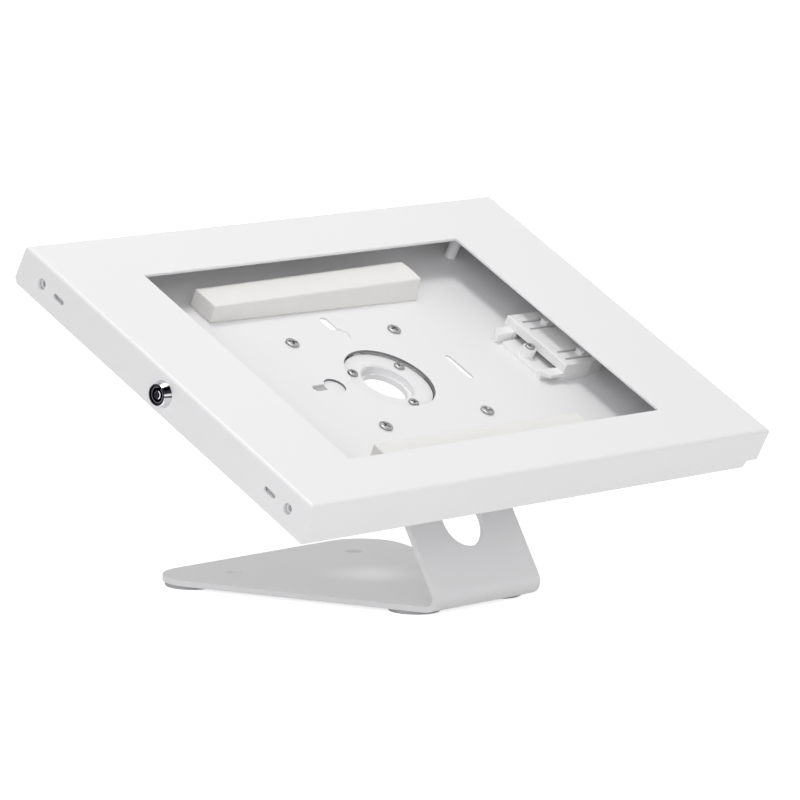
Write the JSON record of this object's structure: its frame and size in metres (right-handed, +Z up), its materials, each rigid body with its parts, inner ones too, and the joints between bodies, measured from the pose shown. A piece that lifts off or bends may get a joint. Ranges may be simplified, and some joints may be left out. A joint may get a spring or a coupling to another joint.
{
  "type": "tablet enclosure desk stand",
  "caption": "Lockable tablet enclosure with a display window and hinged cover, on a swivel that stands on a bent steel plate",
  "frame": {"origin": "on the desk, under the middle of the whole object at rest", "axes": "+X to the user's right, +Y away from the user, +Z up; the enclosure's face tilts towards -Y"},
  "size_m": [0.3438, 0.2108, 0.1813],
  "materials": {
    "powder_coat": "fine satin powder coat, pale grey white",
    "zinc_steel": "zinc plated, satin",
    "lock_chrome": "polished chrome",
    "white_plastic": "moulded, satin",
    "white_foam": "closed cell foam, matt",
    "foot_rubber": "matt, pale grey"
  },
  "bodies": {
    "stand": {"stand_plate": "powder_coat", "foot_front_left": "foot_rubber", "foot_front_right": "foot_rubber", "foot_back_left": "foot_rubber", "foot_back_right": "foot_rubber", "glide_washer": "white_plastic", "swivel_ring": "powder_coat", "ring_screws": "zinc_steel"},
    "case": {"turntable": "zinc_steel", "case_tray": "powder_coat", "case_screws": "zinc_steel", "side_inserts": "zinc_steel", "foam_pad_back": "white_foam", "foam_pad_front": "white_foam", "bracket_base": "white_plastic", "clamp_screw": "zinc_steel", "lock_catch": "zinc_steel", "hinge_leaf_case": "zinc_steel", "hinge_pin": "zinc_steel"},
    "slider": {"bracket_slider": "white_plastic"},
    "cover": {"cover": "powder_coat", "hinge_leaf_cover": "zinc_steel", "lock_body": "lock_chrome", "lock_nut": "zinc_steel"},
    "lock": {"lock_plug": "lock_chrome", "lock_cam": "zinc_steel", "cam_screw": "zinc_steel"}
  },
  "joints": [
    {"name": "swivel", "type": "hinge", "parent": "stand", "child": "case", "pos_m": [-0.00297, 0.00487, 0.10367], "axis": [0, -0.4641, 0.8858], "range_deg": [-90, 90]},
    {"name": "cover_hinge", "type": "hinge", "parent": "case", "child": "cover", "pos_m": [0.16812, 0.00308, 0.11267], "axis": [0, 0.8858, 0.4641], "range_deg": [0, 100]},
    {"name": "lock_turn", "type": "hinge", "parent": "cover", "child": "lock", "pos_m": [-0.16812, -0.0027, 0.11856], "axis": [1, 0, 0], "range_deg": [0, 90]},
    {"name": "bracket_slide", "type": "slide", "parent": "case", "child": "slider", "axis": [1, 0, 0], "range_m": [0, 0.02]}
  ]
}
